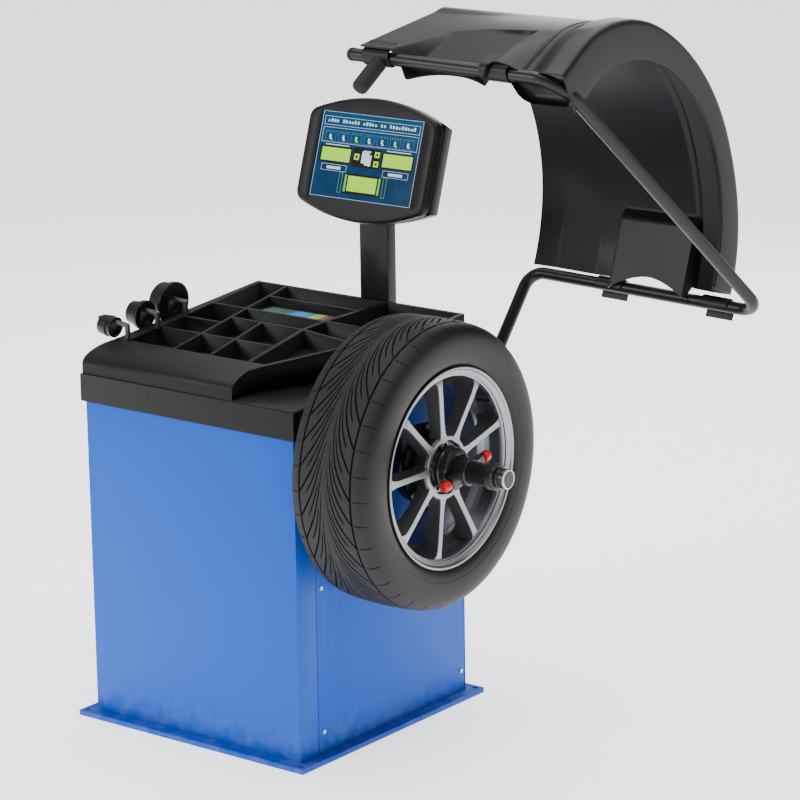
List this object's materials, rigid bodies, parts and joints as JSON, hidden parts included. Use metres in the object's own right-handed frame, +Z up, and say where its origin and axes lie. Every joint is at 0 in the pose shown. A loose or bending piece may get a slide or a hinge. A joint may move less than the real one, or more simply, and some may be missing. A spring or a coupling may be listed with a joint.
{
  "type": "wheel balancer",
  "caption": "Free-standing wheel balancer: cabinet with weight tray, screen on a post, car wheel clamped on the spindle by a quick nut, and a swing-over wheel guard.",
  "frame": {"origin": "middle of the base plate's underside, on the floor", "axes": "+X along the spindle out of the right side, +Y to the rear, +Z up"},
  "size_m": [1.3119, 0.9669, 1.6159],
  "materials": {
    "cabinet_blue": "satin powder coat",
    "base_blue": "satin powder coat",
    "frame_steel": "satin black",
    "bare_steel": "machined",
    "tray_plastic": "fine moulded grain",
    "label_print": "printed",
    "hood_plastic": "gloss",
    "grip_rubber": "matt",
    "monitor_plastic": "satin",
    "screen_glass": "lit screen",
    "wheel_alloy": "gunmetal lacquer",
    "tyre_rubber": "rubber",
    "nut_black": "satin black",
    "button_red": "gloss",
    "cone_steel": "blackened",
    "board_green": "satin",
    "belt_rubber": "matt",
    "motor_grey": "hammered",
    "switch_plastic": "satin"
  },
  "bodies": {
    "cabinet": {"base_plate": "base_blue", "front_panel": "cabinet_blue", "right_side_panel": "cabinet_blue", "left_side_panel": "cabinet_blue", "rear_panel": "cabinet_blue", "inner_frame": "frame_steel", "panel_screws": "bare_steel", "weight_tray": "tray_plastic", "label_plate": "label_print", "spindle_housing": "motor_grey", "spindle_bearings": "bare_steel", "support_column": "frame_steel", "piezo_sensors": "bare_steel", "housing_cradle": "frame_steel", "encoder_reader": "switch_plastic", "drive_motor": "motor_grey", "motor_mount": "frame_steel", "drive_belt": "belt_rubber", "control_board": "board_green", "power_supply": "bare_steel", "power_inlet": "switch_plastic", "switch_body": "switch_plastic", "monitor_post": "frame_steel", "post_bracket": "frame_steel", "tilt_bracket": "frame_steel", "tilt_pin": "bare_steel", "hood_bracket": "frame_steel", "hood_spring": "bare_steel", "cone_pegs": "bare_steel", "gauge_guide": "bare_steel"},
    "spindle": {"main_shaft": "bare_steel", "backplate": "nut_black", "back_cone": "cone_steel", "cone_spring": "bare_steel", "spindle_pulley": "bare_steel", "encoder_disc": "bare_steel", "wheel_rim": "wheel_alloy", "tyre": "tyre_rubber", "valve_stem": "grip_rubber"},
    "motor_rotor": {"motor_pulley": "bare_steel"},
    "quick_nut": {"pressure_cup": "nut_black", "nut_body": "nut_black", "nut_barrel": "nut_black"},
    "rear_button": {"nut_button_rear": "button_red"},
    "front_button": {"nut_button_front": "button_red"},
    "hood": {"hood_shell": "hood_plastic", "hood_frame": "frame_steel", "hood_end_cap": "grip_rubber", "hood_clips": "hood_plastic", "hood_screws": "bare_steel", "hood_grip": "grip_rubber"},
    "monitor": {"monitor_bezel": "monitor_plastic", "monitor_back": "monitor_plastic", "screen_panel": "screen_glass"},
    "switch": {"switch_rocker": "button_red"},
    "gauge_slider": {"gauge_rod": "bare_steel"},
    "gauge_swinger": {"gauge_arm": "nut_black"},
    "small_cone_body": {"small_cone": "cone_steel"},
    "medium_cone_body": {"medium_cone": "cone_steel"},
    "large_cone_body": {"large_cone": "cone_steel"}
  },
  "joints": [
    {"name": "spindle_spin", "type": "hinge", "parent": "cabinet", "child": "spindle", "pos_m": [0, -0.07, 0.6655], "axis": [1, 0, 0], "continuous": true},
    {"name": "motor_spin", "type": "hinge", "parent": "cabinet", "child": "motor_rotor", "pos_m": [0, -0.07, 0.43], "axis": [1, 0, 0], "continuous": true},
    {"name": "nut_slide", "type": "slide", "parent": "spindle", "child": "quick_nut", "axis": [1, 0, 0], "range_m": [0, 0.165]},
    {"name": "rear_button_press", "type": "slide", "parent": "quick_nut", "child": "rear_button", "axis": [0, -0.9703, -0.2419], "range_m": [0, 0.005], "stiffness_N_per_m": 400},
    {"name": "front_button_press", "type": "slide", "parent": "quick_nut", "child": "front_button", "axis": [0, 0.9703, 0.2419], "range_m": [0, 0.005], "stiffness_N_per_m": 400},
    {"name": "hood_swing", "type": "hinge", "parent": "cabinet", "child": "hood", "pos_m": [0.326, 0.377, 0.772], "axis": [1, 0, 0], "range_deg": [0, 68], "stiffness_Nm_per_rad": 45, "springref_deg": -51.57},
    {"name": "monitor_tilt", "type": "hinge", "parent": "cabinet", "child": "monitor", "pos_m": [0.041, 0.299, 1.205], "axis": [1, 0, 0], "range_deg": [-8, 10]},
    {"name": "switch_rock", "type": "hinge", "parent": "cabinet", "child": "switch", "pos_m": [-0.228, 0.3, 0.173], "axis": [1, 0, 0], "range_deg": [-12, 0]},
    {"name": "gauge_slide", "type": "slide", "parent": "cabinet", "child": "gauge_slider", "axis": [1, 0, 0], "range_m": [0, 0.1]},
    {"name": "gauge_swing", "type": "hinge", "parent": "gauge_slider", "child": "gauge_swinger", "pos_m": [0.318, -0.15, 0.688], "axis": [-1, 0, 0], "range_deg": [-70, 0]},
    {"name": "small_cone_pull", "type": "slide", "parent": "cabinet", "child": "small_cone_body", "axis": [-0.9962, 0, 0.0872], "range_m": [0, 0.09]},
    {"name": "medium_cone_pull", "type": "slide", "parent": "cabinet", "child": "medium_cone_body", "axis": [-0.9962, 0, 0.0872], "range_m": [0, 0.09]},
    {"name": "large_cone_pull", "type": "slide", "parent": "cabinet", "child": "large_cone_body", "axis": [-0.9962, 0, 0.0872], "range_m": [0, 0.09]}
  ],
  "couplings": [
    {"joint": "motor_spin", "follows": "spindle_spin", "ratio": 3}
  ]
}
